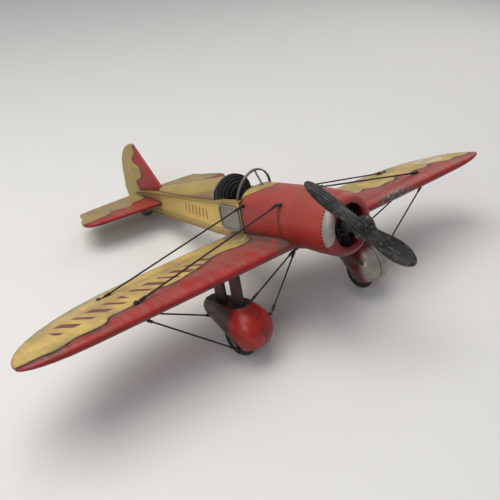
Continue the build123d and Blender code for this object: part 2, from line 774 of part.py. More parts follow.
def bead(centre, radius=BEAD_R):
    return Pos(*centre) * Sphere(radius)


def eyelet(centre):
    """Ring on a short stud that points straight out from the body."""
    outward = Vector(centre[0], 0, centre[2] - THRUST_Z).normalized()
    foot = Vector(*centre) - outward * 3.0
    stud = rod(tuple(foot), centre, 1.0)
    tip = Vector(*centre) + outward * 1.6
    plane = Plane(origin=tip, x_dir=(0, 1, 0), z_dir=(outward.Z, 0, -outward.X))
    ring = extrude(plane * (Circle(2.4) - Circle(1.1)), amount=0.6, both=True)
    return stud + ring


def wire(start, end):
    return rod(start, end, WIRE_R)


# ------------------------------------------------------------------ build the pieces
BODY_SOLID = body_solid()
WING_SOLID = wing_solid() - BODY_SOLID
WING_SOLID = largest(WING_SOLID - side_prism(
    [(COCKPIT_FRONT_Y, 60), (60, 60), (60, 110), (COCKPIT_FRONT_Y, 110)], 0, BODY_HALF + 0.6))
SPAT_PLACE = spat_place()

NODES["nose_shell"] = nose_shell()
NODES["mouth_bead"] = mouth_bead()
NODES["engine_crankcase"] = engine_crankcase()
NODES["engine_cylinders"] = engine_cylinders()
NODES["engine_mount_plate"] = engine_mount_plate()
NODES["shaft_bush"] = shaft_bush()
NODES["propeller"] = propeller()
NODES["propeller_shaft"] = propeller_shaft()
NODES["shaft_collar"] = shaft_collar()
NODES["propeller_washer"] = propeller_washer()
NODES["propeller_nut"] = propeller_nut()

NODES["forward_fuselage"] = forward_fuselage()
NODES["instrument_panel"] = instrument_panel()
NODES["stabilizer"] = stabilizer()
both_sides("side_panel", side_panel() - NODES["stabilizer"])
NODES["belly_panel"] = belly_panel()
NODES["deck_plate"] = deck_plate()
NODES["turtle_deck"] = turtle_deck()
NODES["turtle_deck_rim"] = turtle_deck_rim() - NODES["turtle_deck"]
NODES["headrest"] = headrest()
NODES["cockpit_floor"] = cockpit_floor()
NODES["windscreen_hoop"] = windscreen_hoop()
NODES["windscreen_strut"] = windscreen_strut()
both_sides("access_door", access_door())
NODES["stern_cap"] = stern_cap()
NODES["fin"] = fin()
NODES["tail_skid"] = tail_skid()

above_seam, below_seam = seam_halves()
wing_shell = WING_SOLID - wing_solid(SHEET)
for name, space in (("wing_upper_skin", above_seam), ("wing_lower_skin", below_seam)):
    skin = largest(wing_shell & space)
    NODES[name + "_left"] = skin
    NODES[name + "_right"] = largest(mirrored(skin) - BODY_SOLID)

centre = wheel_centre()
wheel_place = SPAT_PLACE * Pos(0, 0, centre.Z)
axle_pin = wheel_place * axle()
shell = SPAT_PLACE * spat_shell()
outer_side = SPAT_PLACE * Pos(30, 0, 20) * Box(60, 120, 80)
inner_side = SPAT_PLACE * Pos(-30, 0, 20) * Box(60, 120, 80)
both_sides("spat_outer_shell", largest((shell & outer_side) - axle_pin))
both_sides("spat_inner_shell", largest((shell & inner_side) - axle_pin))
both_sides("spat_top_plate", SPAT_PLACE * spat_top_plate())
both_sides("tyre", wheel_place * tyre())
both_sides("wheel_hub", wheel_place * wheel_hub())
both_sides("axle", axle_pin)
both_sides("gear_strut_front", gear_strut(-5.0))
both_sides("gear_strut_rear", gear_strut(13.0))

spat_filled = SPAT_PLACE * spat_solid()
# each boss: (foot inside the spat, tip), in the spat's own frame; the wire is hooked on at its tip
SPAT_BOSSES = [
    ((0, 23.0, 27.0), (0, 29.4, 27.0)),
    ((5.2, -3.0, 9.0), (9.0, -3.0, 9.0)),
    ((-9.0, -4.0, 40.0), (-15.0, -4.0, 40.0)),
    ((-10.5, -17.5, 33.0), (-15.2, -23.2, 33.0)),
]
spat_bosses = []
spat_hooks = []
for foot, tip in SPAT_BOSSES:
    spat_bosses.append(largest(SPAT_PLACE * rod(foot, tip, BOSS_R) - spat_filled))
    hook = Vector(*tip) + (Vector(*foot) - Vector(*tip)).normalized() * WIRE_R
    spat_hooks.append(tuple((SPAT_PLACE * Pos(*tuple(hook))).position))
tail_hook, lower_hook, upper_hook, nose_hook = spat_hooks

eyelet_left = eyelet(EYELET) - BODY_SOLID
corner_bead = bead(COCKPIT_CORNER, 1.6) - BODY_SOLID
belly_bead = bead(BELLY_BEAD, 2.2) - BODY_SOLID
body_beads = [eyelet_left, corner_bead, belly_bead]
wing_spots = [WING_FRONT_BEAD, WING_REAR_BEAD, UNDER_WING_FRONT_BEAD, UNDER_WING_REAR_BEAD]
wing_beads = [bead(spot) - WING_SOLID for spot in wing_spots]
NODES["body_wire_lugs"] = Compound(children=body_beads + [mirrored(b) for b in body_beads])
NODES["wing_wire_beads"] = Compound(children=wing_beads + [mirrored(b) for b in wing_beads])
NODES["spat_wire_beads"] = Compound(children=spat_bosses + [mirrored(b) for b in spat_bosses])

obstacles = [BODY_SOLID, WING_SOLID, spat_filled] + body_beads + wing_beads + spat_bosses


def trimmed_wire(start, end):
    """Wire between two beads, cut where it meets them and the skins."""
    line = wire(start, end)
    for solid in obstacles:
        line = line - solid
    return largest(line)


ring_centre = (Vector(*EYELET) + Vector(EYELET[0], 0, EYELET[2] - THRUST_Z).normalized() * 1.6)
both_sides("top_front_wire", trimmed_wire(tuple(ring_centre), WING_FRONT_BEAD))
both_sides("top_rear_wire", trimmed_wire(COCKPIT_CORNER, WING_REAR_BEAD))
under = [trimmed_wire(tail_hook, UNDER_WING_REAR_BEAD),
         trimmed_wire(lower_hook, UNDER_WING_FRONT_BEAD)]
NODES["under_wing_wires_left"] = Compound(children=under)
NODES["under_wing_wires_right"] = Compound(children=[mirrored(w) for w in under])
gear = [trimmed_wire(BELLY_BEAD, upper_hook),
        trimmed_wire(BELLY_BEAD, nose_hook)]
NODES["gear_wires_left"] = Compound(children=gear)
NODES["gear_wires_right"] = Compound(children=[mirrored(w) for w in gear])

# ------------------------------------------------------------------ stand it on the ground
attitude = Rot(-SIT_ANGLE, 0, 0)
whole = Compound(children=[attitude * shape for shape in NODES.values()])
box = whole.bounding_box()
stand = Pos(0, -(box.min.Y + box.max.Y) / 2, 0) * attitude
for name, shape in NODES.items():
    export_step(stand * shape, "parts/" + name + ".step")

print("nodes", len(NODES))
print("box", box.min, box.max)
print("wheel centre left", (stand * Pos(*tuple(centre))).position)
print("thrust axis point", (stand * Pos(0, PROP_Y, THRUST_Z)).position)
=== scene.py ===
"""Looks of the tinplate racing aeroplane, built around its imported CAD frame."""
import bpy
import bmesh
import json
import math
from mathutils import Matrix, Vector


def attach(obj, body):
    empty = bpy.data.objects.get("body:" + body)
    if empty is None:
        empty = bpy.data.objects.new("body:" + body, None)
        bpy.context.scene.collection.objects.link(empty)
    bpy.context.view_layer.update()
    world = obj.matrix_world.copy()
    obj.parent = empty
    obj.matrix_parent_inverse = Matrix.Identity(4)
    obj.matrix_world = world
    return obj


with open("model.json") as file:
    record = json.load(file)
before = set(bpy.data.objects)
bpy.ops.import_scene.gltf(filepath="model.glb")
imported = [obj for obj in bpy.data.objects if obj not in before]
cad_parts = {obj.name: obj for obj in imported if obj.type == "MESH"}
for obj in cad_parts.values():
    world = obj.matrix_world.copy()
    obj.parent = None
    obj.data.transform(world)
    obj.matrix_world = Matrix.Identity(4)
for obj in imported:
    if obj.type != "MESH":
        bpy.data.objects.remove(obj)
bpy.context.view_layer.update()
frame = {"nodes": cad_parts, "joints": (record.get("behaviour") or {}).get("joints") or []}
NODES = frame["nodes"]
JOINTS = {j["name"]: j for j in frame["joints"]}

# ------------------------------------------------------------------ the aeroplane's own measures
# Level airframe frame, millimetres: x to the left wing, y to the tail, z up. The origin is on the
# ground between the wheels, and the whole aeroplane sits SIT_ANGLE nose up around it.
MM = 0.001
SIT_ANGLE = math.radians(15)
WHEEL_Y = JOINTS["left_wheel_spin"]["pos_m"][1]
THRUST_Z = 92.5
PROP_POS = Vector(JOINTS["propeller_spin"]["pos_m"])
PROP_LEAN = math.radians(46.5)      # of the blades from upright
NOSE_SEAM_Y = -28.0
LIP_START_Y = -61.5
LIP_RING_Y = -61.0
EYELET_Y = -15.5
COCKPIT_FRONT_Y = 32.0
WING_EDGE = (-25.0, 76.2)           # y and z of the wing's middle plane at its leading edge
WING_RISE = -0.048                  # of that plane, towards the tail
STAB_EDGE_Z = 79.5
BELLY_Z = 71.0                      # of the fuselage's lower edge, at the front of the cockpit
BELLY_RISE = -0.026
TRACK_HALF = 69.0                   # from the middle to a spat
SPAT_SPLAY = math.radians(7)
SPAT_TOP_Z = 45.0
WHEEL_HEIGHT = JOINTS["left_wheel_spin"]["pos_m"][2] / MM
BRACE_R = 0.65
BINDING_R = 0.34
BEAD_R = 0.42

TO_ROW = (Matrix.Translation((0, WHEEL_Y, 0)) @ Matrix.Rotation(-SIT_ANGLE, 4, "X")
          @ Matrix.Scale(MM, 4))


def at(x, y, z):
    """Airframe millimetres to the row frame, in metres."""
    return TO_ROW @ Vector((x, y, z))


# ------------------------------------------------------------------ colours (linear)
YELLOW = (0.56, 0.385, 0.105)
YELLOW_DULL = (0.35, 0.25, 0.075)
TAN = (0.30, 0.21, 0.095)
RED = (0.30, 0.014, 0.011)
RED_DEEP = (0.105, 0.010, 0.009)
# paler pinkish red: faded paint, together with a painted sky reflection on top faces
RED_FADE_AND_SHEEN = (0.30, 0.048, 0.036)
MAROON = (0.15, 0.020, 0.022)
INK = (0.016, 0.009, 0.007)
BROWN = (0.10, 0.048, 0.024)
# near black of grime and of painted shade in corners and joints
GRIME_AND_SHADE = (0.030, 0.022, 0.015)
TIN = (0.44, 0.41, 0.36)
TIN_DARK = (0.12, 0.11, 0.10)
PALE = (0.60, 0.53, 0.40)
# pale pinkish-grey on upward faces: dust, together with a painted reflection of the sky
DUST_AND_SHEEN = (0.20, 0.15, 0.12)
ROOT_SOOT = (0.065, 0.060, 0.050)
RUBBED_GREY = (0.22, 0.20, 0.17)
SCORCHED = (0.06, 0.045, 0.035)
DISC_MARK = (0.40, 0.07, 0.05)
SIDE_MARK = (0.28, 0.03, 0.015)
BELLY_STAIN = (0.24, 0.13, 0.05)
FLANGE = (0.20, 0.11, 0.06)
# near black of the spat sides: painted shade
SPAT_SIDE_SHADE = (0.030, 0.013, 0.008)
CAST_DARK = (0.010, 0.011, 0.010)
CAST_MID = (0.115, 0.125, 0.110)
CAST_CLOUD = (0.055, 0.052, 0.046)
CAST_RIDGE_HIGHLIGHT = (0.22, 0.235, 0.21)
CAST_CORNER_SHADE = (0.010, 0.010, 0.009)


# ------------------------------------------------------------------ shader building
class Shade:
    """One material's node graph, with positions in the airframe's millimetres."""

    def __init__(self, name):
        self.material = bpy.data.materials.new(name)
        self.material.use_nodes = True
        self.tree = self.material.node_tree
        self.bsdf = self.tree.nodes["Principled BSDF"]
        row = self.add("ShaderNodeTexCoord").outputs["Object"]
        mapping = self.add("ShaderNodeMapping", Vector=row)
        offset = -WHEEL_Y / MM
        mapping.inputs["Scale"].default_value = (1 / MM, 1 / MM, 1 / MM)
        mapping.inputs["Rotation"].default_value = (SIT_ANGLE, 0, 0)
        mapping.inputs["Location"].default_value = (
            0, offset * math.cos(SIT_ANGLE), offset * math.sin(SIT_ANGLE))
        self.place = mapping.outputs["Vector"]
        split = self.add("ShaderNodeSeparateXYZ", Vector=self.place)
        self.x, self.y, self.z = split.outputs
        self.side = self.math("ABSOLUTE", self.x)

    def put(self, socket, value):
        if isinstance(value, bpy.types.NodeSocket):
            self.tree.links.new(value, socket)
        elif isinstance(value, tuple) and socket.type == "RGBA":
            socket.default_value = (*value, 1)
        else:
            socket.default_value = value

    def add(self, kind, **inputs):
        node = self.tree.nodes.new(kind)
        for name, value in inputs.items():
            self.put(node.inputs[name.replace("_", " ")], value)
        return node

    def math(self, operation, a, b=0.0, c=0.0, clamp=False):
        node = self.tree.nodes.new("ShaderNodeMath")
        node.operation = operation
        node.use_clamp = clamp
        for socket, value in zip(node.inputs, (a, b, c)):
            self.put(socket, value)
        return node.outputs[0]

    def step(self, value, edge, soft):
        """0 below the edge and 1 above it, with a soft change."""
        node = self.tree.nodes.new("ShaderNodeMapRange")
        node.interpolation_type = "SMOOTHSTEP"
        self.put(node.inputs["Value"], value)
        self.put(node.inputs["From Min"], edge - soft)
        self.put(node.inputs["From Max"], edge + soft)
        return node.outputs["Result"]

    def span(self, value, low, high, soft):
        """1 from low to high."""
        up = self.step(value, low, soft)
        down = self.step(value, high, soft)
        return self.math("SUBTRACT", up, down, clamp=True)

    def line(self, distance, half, soft):
        """1 where a signed distance is within half of zero."""
        return self.math("SUBTRACT", 1.0, self.step(self.math("ABSOLUTE", distance), half, soft))

    def both(self, *masks):
        result = masks[0]
        for mask in masks[1:]:
            result = self.math("MULTIPLY", result, mask)
        return result

    def either(self, *masks):
        result = masks[0]
        for mask in masks[1:]:
            result = self.math("MAXIMUM", result, mask)
        return result

    def noise(self, size, detail=4.0, stretch=(1, 1, 1), rough=0.55, distort=0.0, seed=0.0):
        """Noise 0 to 1 whose patches are about size millimetres, longer where stretch is larger."""
        mapping = self.add("ShaderNodeMapping", Vector=self.place)
        mapping.inputs["Scale"].default_value = tuple(1 / (size * s) for s in stretch)
        mapping.inputs["Location"].default_value = (seed, seed * 0.7, seed * 1.3)
        node = self.add("ShaderNodeTexNoise", Vector=mapping.outputs["Vector"])
        node.inputs["Scale"].default_value = 1.0
        node.inputs["Detail"].default_value = detail
        node.inputs["Roughness"].default_value = rough
        node.inputs["Distortion"].default_value = distort
        return node.outputs["Fac"]

    def blend(self, factor, a, b, mode="MIX"):
        node = self.tree.nodes.new("ShaderNodeMix")
        node.data_type = "RGBA"
        node.blend_type = mode
        self.put(node.inputs[0], factor)
        self.put(node.inputs[6], a)
        self.put(node.inputs[7], b)
        return node.outputs[2]

    def curve(self, value, points):
        """A smooth function of value through the (value, result) points."""
        xs = [p[0] for p in points]
        ys = [p[1] for p in points]
        low, high, bottom, top = min(xs), max(xs), min(ys), max(ys)
        node = self.tree.nodes.new("ShaderNodeFloatCurve")
        self.put(node.inputs["Value"], self.math(
            "MULTIPLY_ADD", value, 1 / (high - low), -low / (high - low)))
        line = node.mapping.curves[0]
        marks = sorted(((x - low) / (high - low), (y - bottom) / (top - bottom)) for x, y in points)
        line.points[0].location = marks[0]
        line.points[-1].location = marks[-1]
        for mark in marks[1:-1]:
            line.points.new(*mark)
        node.mapping.update()
        return self.math("MULTIPLY_ADD", node.outputs["Value"], top - bottom, bottom)

    def upward(self):
        """1 on faces that look up."""
        split = self.add("ShaderNodeSeparateXYZ", Vector=self.add("ShaderNodeNewGeometry").outputs["Normal"])
        return split.outputs["Z"]

    def corners(self, reach):
        """1 in corners and joints, 0 in the open."""
        node = self.add("ShaderNodeAmbientOcclusion", Distance=reach * MM)
        node.samples = 6
        return self.math("SUBTRACT", 1.0, node.outputs["AO"])

    def edges(self, radius):
        """1 along sharp edges."""
        bevel = self.add("ShaderNodeBevel", Radius=radius * MM)
        bevel.samples = 6
        dot = self.tree.nodes.new("ShaderNodeVectorMath")
        dot.operation = "DOT_PRODUCT"
        self.put(dot.inputs[0], bevel.outputs["Normal"])
        self.put(dot.inputs[1], self.add("ShaderNodeNewGeometry").outputs["Normal"])
        return self.step(self.math("SUBTRACT", 1.0, dot.outputs["Value"]), 0.06, 0.05)

    def finish(self, colour, roughness, height, depth, metal=0.0, coat=0.0):
        bump = self.add("ShaderNodeBump", Height=height)
        bump.inputs["Distance"].default_value = depth * MM
        self.put(self.bsdf.inputs["Base Color"], colour)
        self.put(self.bsdf.inputs["Roughness"], roughness)
        self.put(self.bsdf.inputs["Metallic"], metal)
        self.put(self.bsdf.inputs["Normal"], bump.outputs["Normal"])
        if coat:
            self.bsdf.inputs["Coat Weight"].default_value = coat
            self.bsdf.inputs["Coat Roughness"].default_value = 0.22
        return self.material


def aged_enamel(shade, paint, grime_and_shade=0.6, dust_and_sheen_amount=0.35, wear=0.5, bare=None, gloss=0.36):
    """Old enamel on tin over a paint colour: mottled, with dust and a painted sky reflection on upward
    faces, grime and painted shade in joints, worn at edges.
    """
    s = shade
    blotch = s.noise(26, 5, rough=0.6)
    fine = s.noise(2.2, 6, rough=0.7, seed=3)
    streak = s.noise(5, 4, stretch=(1, 7, 1), seed=8)
    tone = s.math("MULTIPLY_ADD", blotch, 0.55, 0.72)
    tone = s.math("MULTIPLY", tone, s.math("MULTIPLY_ADD", fine, 0.28, 0.86))
    grey = s.add("ShaderNodeCombineColor", Red=tone, Green=tone, Blue=tone).outputs["Color"]
    colour = s.blend(1.0, paint, grey, "MULTIPLY")
    # Upward faces take a pale pinkish-grey film in streaks: partly dust, partly a painted reflection of the
    # sky.
    dust_and_sheen = s.both(s.step(s.upward(), 0.78, 0.22), s.step(streak, 0.50, 0.16))
    colour = s.blend(s.math("MULTIPLY", dust_and_sheen, dust_and_sheen_amount), colour, DUST_AND_SHEEN)
    # Dark in corners and joints found by ambient occlusion, patched by noise: grime together with painted
    # shade.
    corner_grime_and_shade = s.step(s.math("MULTIPLY_ADD", blotch, 0.35, s.corners(7)), 0.48, 0.28)
    colour = s.blend(s.math("MULTIPLY", corner_grime_and_shade, grime_and_shade), colour, GRIME_AND_SHADE)
    speck = s.step(s.noise(1.3, 3, seed=21), 0.70, 0.04)
    colour = s.blend(s.math("MULTIPLY", speck, 0.6), colour, BROWN)
    edge = s.both(s.edges(0.7), s.step(fine, 0.50, 0.08))
    worn = s.math("MULTIPLY", edge, wear)
    if bare is not None:
        worn = s.either(worn, bare)
    tin = s.blend(s.noise(4, 6, rough=0.75, seed=5), TIN_DARK, TIN)
    colour = s.blend(worn, colour, tin)
    rough = s.math("MULTIPLY_ADD", fine, 0.22, gloss)
    rough = s.math("MULTIPLY_ADD", corner_grime_and_shade, 0.25, rough)
    height = s.math("MULTIPLY_ADD", blotch, 0.5, s.math("MULTIPLY", fine, 0.22))
    height = s.math("SUBTRACT", height, s.math("MULTIPLY", worn, 0.35))
    metal = s.math("MULTIPLY", worn, 0.45)
    s.bsdf.inputs["Specular IOR Level"].default_value = 0.32
    return s.finish(colour, rough, height, 0.42, metal, coat=0.10)


def outlined(shade, distance, front, back, ink=1.25):
    """Two paints that meet at distance zero, with a hand-drawn dark line between them."""
    s = shade
    wobble = s.math("MULTIPLY_ADD", s.noise(9, 3, seed=2), 2.4, s.math("ADD", distance, -1.2))
    colour = s.blend(s.step(wobble, 0.0, 0.25), front, back)
    beside = s.line(s.math("ADD", wobble, 2.2), 1.9, 0.9)
    shadow = s.both(beside, s.step(s.noise(14, 2, seed=9), 0.46, 0.08))
    colour = s.blend(s.math("MULTIPLY", shadow, 0.85), colour, MAROON)
    glow = s.line(s.math("SUBTRACT", wobble, 1.6), 1.2, 1.2)
    colour = s.blend(s.math("MULTIPLY", glow, 0.35), colour, BROWN)
    return s.blend(s.line(wobble, ink, 0.3), colour, INK)


# ------------------------------------------------------------------ painted schemes
WING_BORDER = [
    (-240, -10), (-236, -13), (-230, -15), (-222, -17), (-211, -19), (-198, -17), (-186, -18),
    (-177, -17), (-169, -10),
    (-158, -11), (-145, -7), (-134, -3), (-129, 0), (-118, -4), (-102, -1), (-80, 6), (-59, 13),
    (-43, 9), (-29, 14), (-22, 25), (22, 24), (40, 10), (60, 6), (87, 12), (93, 6), (101, 10),
    (111, -2), (122, 0), (131, -1), (141, 5), (151, -3), (161, 0), (172, -5), (182, -1),
    (202, -13), (208, -12), (215, -14), (222, -14), (230, -12), (236, -8), (240, -5),
]
STAB_BORDER = [
    (0, 213), (6, 211), (9, 204), (15, 203), (23, 203), (27, 198), (33, 195), (40, 197),
    (49, 201), (52, 197), (60, 193), (70, 192), (79, 191), (87, 197),
]
FIN_BORDER = [
    (76, 223), (87, 222), (93, 225), (98, 217), (104, 213), (111, 214), (117, 224), (126, 217),
    (135, 218),
]
COWL_BORDER = [(0, 12), (3, 13), (12, 18), (20, 31), (26, 34)]


DISC_CENTRE = (199.0, 14.0)
DISC_R = 14.0
WORN_EDGE_Y = -21.5


def slanted_bars(s, along, across, start, end, low, high, pitch, width, slant):
    """A row of short slanted bars, from start to end along and from low to high across."""
    sheared = s.math("MULTIPLY_ADD", across, slant, along)
    phase = s.math("FRACT", s.math("MULTIPLY_ADD", sheared, 1 / pitch, 200.0))
    bar = s.span(phase, 0.02, width / pitch, 0.35 / pitch)
    return s.both(bar, s.span(along, start, end, 0.3), s.span(across, low, high, 0.3))


def wing_material():
    s = Shade("wing_enamel")
    distance = s.math("SUBTRACT", s.y, s.curve(s.x, WING_BORDER))
    yellow = s.blend(s.step(s.noise(30, 4, seed=4), 0.52, 0.16), YELLOW, YELLOW_DULL)
    outer = s.both(s.span(s.x, -205, -146, 0.3), s.span(s.y, 1, 19, 0.3))
    inner = s.both(s.span(s.x, -139, -72, 0.3), s.span(s.y, 4, 22, 0.3))
    pair = s.either(slanted_bars(s, s.x, s.y, -205, -72, 1, 22, 24.0, 6.5, 0.42),
                    slanted_bars(s, s.math("ADD", s.x, 11.0), s.y, -205, -60, 1, 22, 24.0, 4.2, 0.42))
    near = s.both(pair, s.either(outer, inner))
    yellow = s.blend(s.math("MULTIPLY", near, s.step(s.noise(3, 4, seed=12), 0.30, 0.10)), yellow, MAROON)
    across = s.math("SUBTRACT", s.x, DISC_CENTRE[0])
    along = s.math("SUBTRACT", s.y, DISC_CENTRE[1])
    from_disc = s.math("SQRT", s.math("ADD", s.math("POWER", across, 2.0), s.math("POWER", along, 2.0)))
    disc = s.math("SUBTRACT", 1.0, s.step(from_disc, DISC_R, 0.4))
    marks = s.both(slanted_bars(s, s.x, s.y, 189, 211, 9, 19, 7.2, 3.2, 0.5), disc)
    yellow = s.blend(disc, yellow, PALE)
    yellow = s.blend(marks, yellow, DISC_MARK)
    # Behind the leading edge the red turns paler and pinkish in streaks: partly faded paint, partly a
    # painted sky reflection on the top face.
    streaks = s.noise(7, 5, stretch=(9, 1, 1), seed=6)
    red = s.blend(s.step(s.math("MULTIPLY_ADD", streaks, 30.0, s.y), 0.0, 9.0), RED, RED_FADE_AND_SHEEN)
    colour = outlined(s, distance, red, yellow)
    edge_y, edge_z = WING_EDGE
    middle = s.math("MULTIPLY_ADD", s.math("SUBTRACT", s.y, edge_y), WING_RISE, edge_z)
    # Below the wing's middle plane the red turns patchy and darker: painted shade on the underside.
    below = s.math("SUBTRACT", 1.0, s.step(s.math("SUBTRACT", s.z, middle), 0.6, 0.5))
    colour = s.blend(below, colour, s.blend(s.noise(22, 4, seed=33), RED, RED_DEEP))
    near_root = s.math("SUBTRACT", 1.0, s.step(s.side, 38, 14))
    root = s.both(s.step(s.noise(9, 5, seed=14), 0.42, 0.12), near_root)
    colour = s.blend(s.math("MULTIPLY", root, 0.85), colour, ROOT_SOOT)
    trailing = s.curve(s.side, [(20, 53), (110, 52), (150, 45), (195, 34), (240, 10)])
    past = s.math("SUBTRACT", s.y, trailing)
    rear = s.step(s.math("MULTIPLY_ADD", s.noise(12, 4, seed=17), 9.0, past), 0.5, 3.5)
    colour = s.blend(s.math("MULTIPLY", rear, 0.7), colour, RUBBED_GREY)
    patch = s.both(s.span(s.x, 84, 124, 12), s.math("SUBTRACT", 1.0, s.step(s.y, WORN_EDGE_Y, 1.6)))
    scorch = s.both(patch, s.step(s.noise(7, 4, seed=27), 0.36, 0.08))
    colour = s.blend(scorch, colour, SCORCHED)
    specks = s.step(s.noise(2.4, 5, seed=19), 0.54, 0.05)
    bare = s.both(patch, s.math("MULTIPLY", specks, 0.7))
    return aged_enamel(s, colour, grime_and_shade=0.55, dust_and_sheen_amount=0.30, wear=0.5, bare=bare)


def stabilizer_material():
    s = Shade("stabilizer_enamel")
    distance = s.math("SUBTRACT", s.y, s.curve(s.side, STAB_BORDER))
    # Darker red below STAB_EDGE_Z, on the stabilizer's underside: painted shade.
    red = s.blend(s.step(s.z, STAB_EDGE_Z, 1.4), RED_DEEP, RED)
    colour = outlined(s, distance, red, s.blend(s.noise(18, 4, seed=4), TAN, YELLOW_DULL), 0.6)
    return aged_enamel(s, colour, grime_and_shade=0.7, dust_and_sheen_amount=0.4)


def fin_material():
    s = Shade("fin_enamel")
    distance = s.math("SUBTRACT", s.y, s.curve(s.z, FIN_BORDER))
    bars = slanted_bars(s, s.y, s.z, 216, 229, 103, 109, 2.8, 1.0, 0.25)
    yellow = s.blend(s.math("MULTIPLY", bars, 0.75), YELLOW_DULL, BROWN)
    colour = outlined(s, distance, RED, yellow, 0.6)
    rim = s.edges(1.1)
    colour = s.blend(s.math("MULTIPLY", rim, 0.7), colour, INK)
    return aged_enamel(s, colour, grime_and_shade=0.6, dust_and_sheen_amount=0.15, wear=0.2)


def red_body_material():
    """The cowl and forward fuselage: red, with a yellow crescent in front of the cockpit."""
    s = Shade("cowl_enamel")
    # Paler pinkish red high on the cowl: a painted sky reflection.
    height = s.step(s.z, 96, 16)
    red = s.blend(height, RED, RED_FADE_AND_SHEEN)
    # Darker red low on the cowl and forward fuselage: painted shade.
    red = s.blend(s.math("SUBTRACT", 1.0, s.step(s.z, 78, 12)), red, RED_DEEP)
    distance = s.math("SUBTRACT", s.y, s.curve(s.side, COWL_BORDER))
    above = s.step(s.z, 96, 0.8)
    crescent = s.blend(s.both(s.step(distance, 0.0, 0.25), above), red, YELLOW_DULL)
    colour = s.blend(s.both(s.line(distance, 0.7, 0.3), above), crescent, INK)
    rear_edge = s.line(s.math("SUBTRACT", s.y, COCKPIT_FRONT_Y), 1.6, 0.4)
    colour = s.blend(s.math("MULTIPLY", rear_edge, 0.9), colour, INK)
    seam = s.line(s.math("SUBTRACT", s.y, NOSE_SEAM_Y), 0.35, 0.3)
    colour = s.blend(s.math("MULTIPLY", seam, 0.65), colour, INK)
    below_eyelet = s.line(s.math("SUBTRACT", s.y, EYELET_Y), 1.3, 1.6)
    drip = s.both(below_eyelet, s.span(s.z, 84, 106, 4), s.step(s.side, 12, 2))
    patchy = s.math("MULTIPLY_ADD", s.noise(5, 4), 0.9, 0.2)
    colour = s.blend(s.math("MULTIPLY", drip, patchy), colour, INK)
    lip = s.step(s.math("SUBTRACT", 0.0, s.y), -LIP_START_Y, 1.5)
    rise = s.math("SUBTRACT", s.z, THRUST_Z)
    squares = s.math("ADD", s.math("POWER", s.side, 2.0), s.math("MULTIPLY", rise, rise))
    from_axis = s.math("SQRT", squares)
    aside = s.math("DIVIDE", s.math("SUBTRACT", rise, 3.0), 11.5)
    inner_edge = s.math("MULTIPLY_ADD", s.math("MULTIPLY", aside, aside), 5.0, 17.2)
    starboard = s.both(lip, s.step(s.math("MULTIPLY", s.x, -1.0), 6.0, 1.5))
    crescent_band = s.step(s.math("SUBTRACT", from_axis, inner_edge), 0.0, 0.7)
    dots = s.step(s.math("SINE", s.math("MULTIPLY", s.math("ARCTAN2", s.x, rise), 56.0)), 0.0, 0.5)
    ring = s.both(s.line(s.math("SUBTRACT", s.y, LIP_RING_Y), 0.7, 0.3), dots)
    mottle = s.step(s.noise(5, 5, seed=23), 0.26, 0.06)
    bare = s.both(starboard, crescent_band, mottle, s.math("SUBTRACT", 1.0, ring))
    colour = s.blend(s.math("MULTIPLY", starboard, 0.45), colour, RED_DEEP)
    colour = s.blend(s.math("MULTIPLY", ring, 0.85), colour, INK)
    return aged_enamel(s, colour, grime_and_shade=0.7, dust_and_sheen_amount=0.16, wear=0.5, bare=bare, gloss=0.32)


def side_material():
    s = Shade("fuselage_side_enamel")
    yellow = s.blend(s.step(s.y, 150, 60), YELLOW, YELLOW_DULL)
    belly = s.math("MULTIPLY_ADD", s.math("SUBTRACT", s.y, COCKPIT_FRONT_Y), BELLY_RISE, BELLY_Z)
    above_belly = s.math("SUBTRACT", s.z, belly)
    front_line = s.line(s.math("SUBTRACT", s.y, COCKPIT_FRONT_Y + 1.2), 1.5, 0.5)
    yellow = s.blend(front_line, yellow, INK)
    marks = slanted_bars(s, s.y, s.z, 84, 123, 80.5, 89.5, 6.2, 2.0, 0.18)
    colour = s.blend(s.math("MULTIPLY", marks, 0.9), yellow, SIDE_MARK)
    for height, half in ((3.4, 0.5), (6.0, 0.35)):
        low_line = s.line(s.math("SUBTRACT", above_belly, height), half, 0.4)
        colour = s.blend(s.math("MULTIPLY", low_line, 0.6), colour, BROWN)
    low = s.math("SUBTRACT", 1.0, s.step(above_belly, 3.0, 1.0))
    colour = s.blend(s.math("MULTIPLY", low, 0.5), colour, BELLY_STAIN)
    return aged_enamel(s, colour, grime_and_shade=0.75, dust_and_sheen_amount=0.2, wear=0.3)


def deck_material():
    s = Shade("deck_enamel")
    edge = s.math("SUBTRACT", s.side, s.curve(s.y, [(20, 20), (68, 20), (222, 2.6)]))
    flange = s.line(s.math("ADD", edge, 1.6), 1.6, 0.8)
    colour = s.blend(s.math("MULTIPLY", flange, 0.65), YELLOW_DULL, FLANGE)
    spine = s.both(s.line(s.x, 0.9, 0.6), s.step(s.z, 99, 1.0), s.step(s.y, 78, 3))
    colour = s.blend(s.math("MULTIPLY", spine, 0.75), colour, MAROON)
    return aged_enamel(s, colour, grime_and_shade=0.7, dust_and_sheen_amount=0.2, wear=0.4)


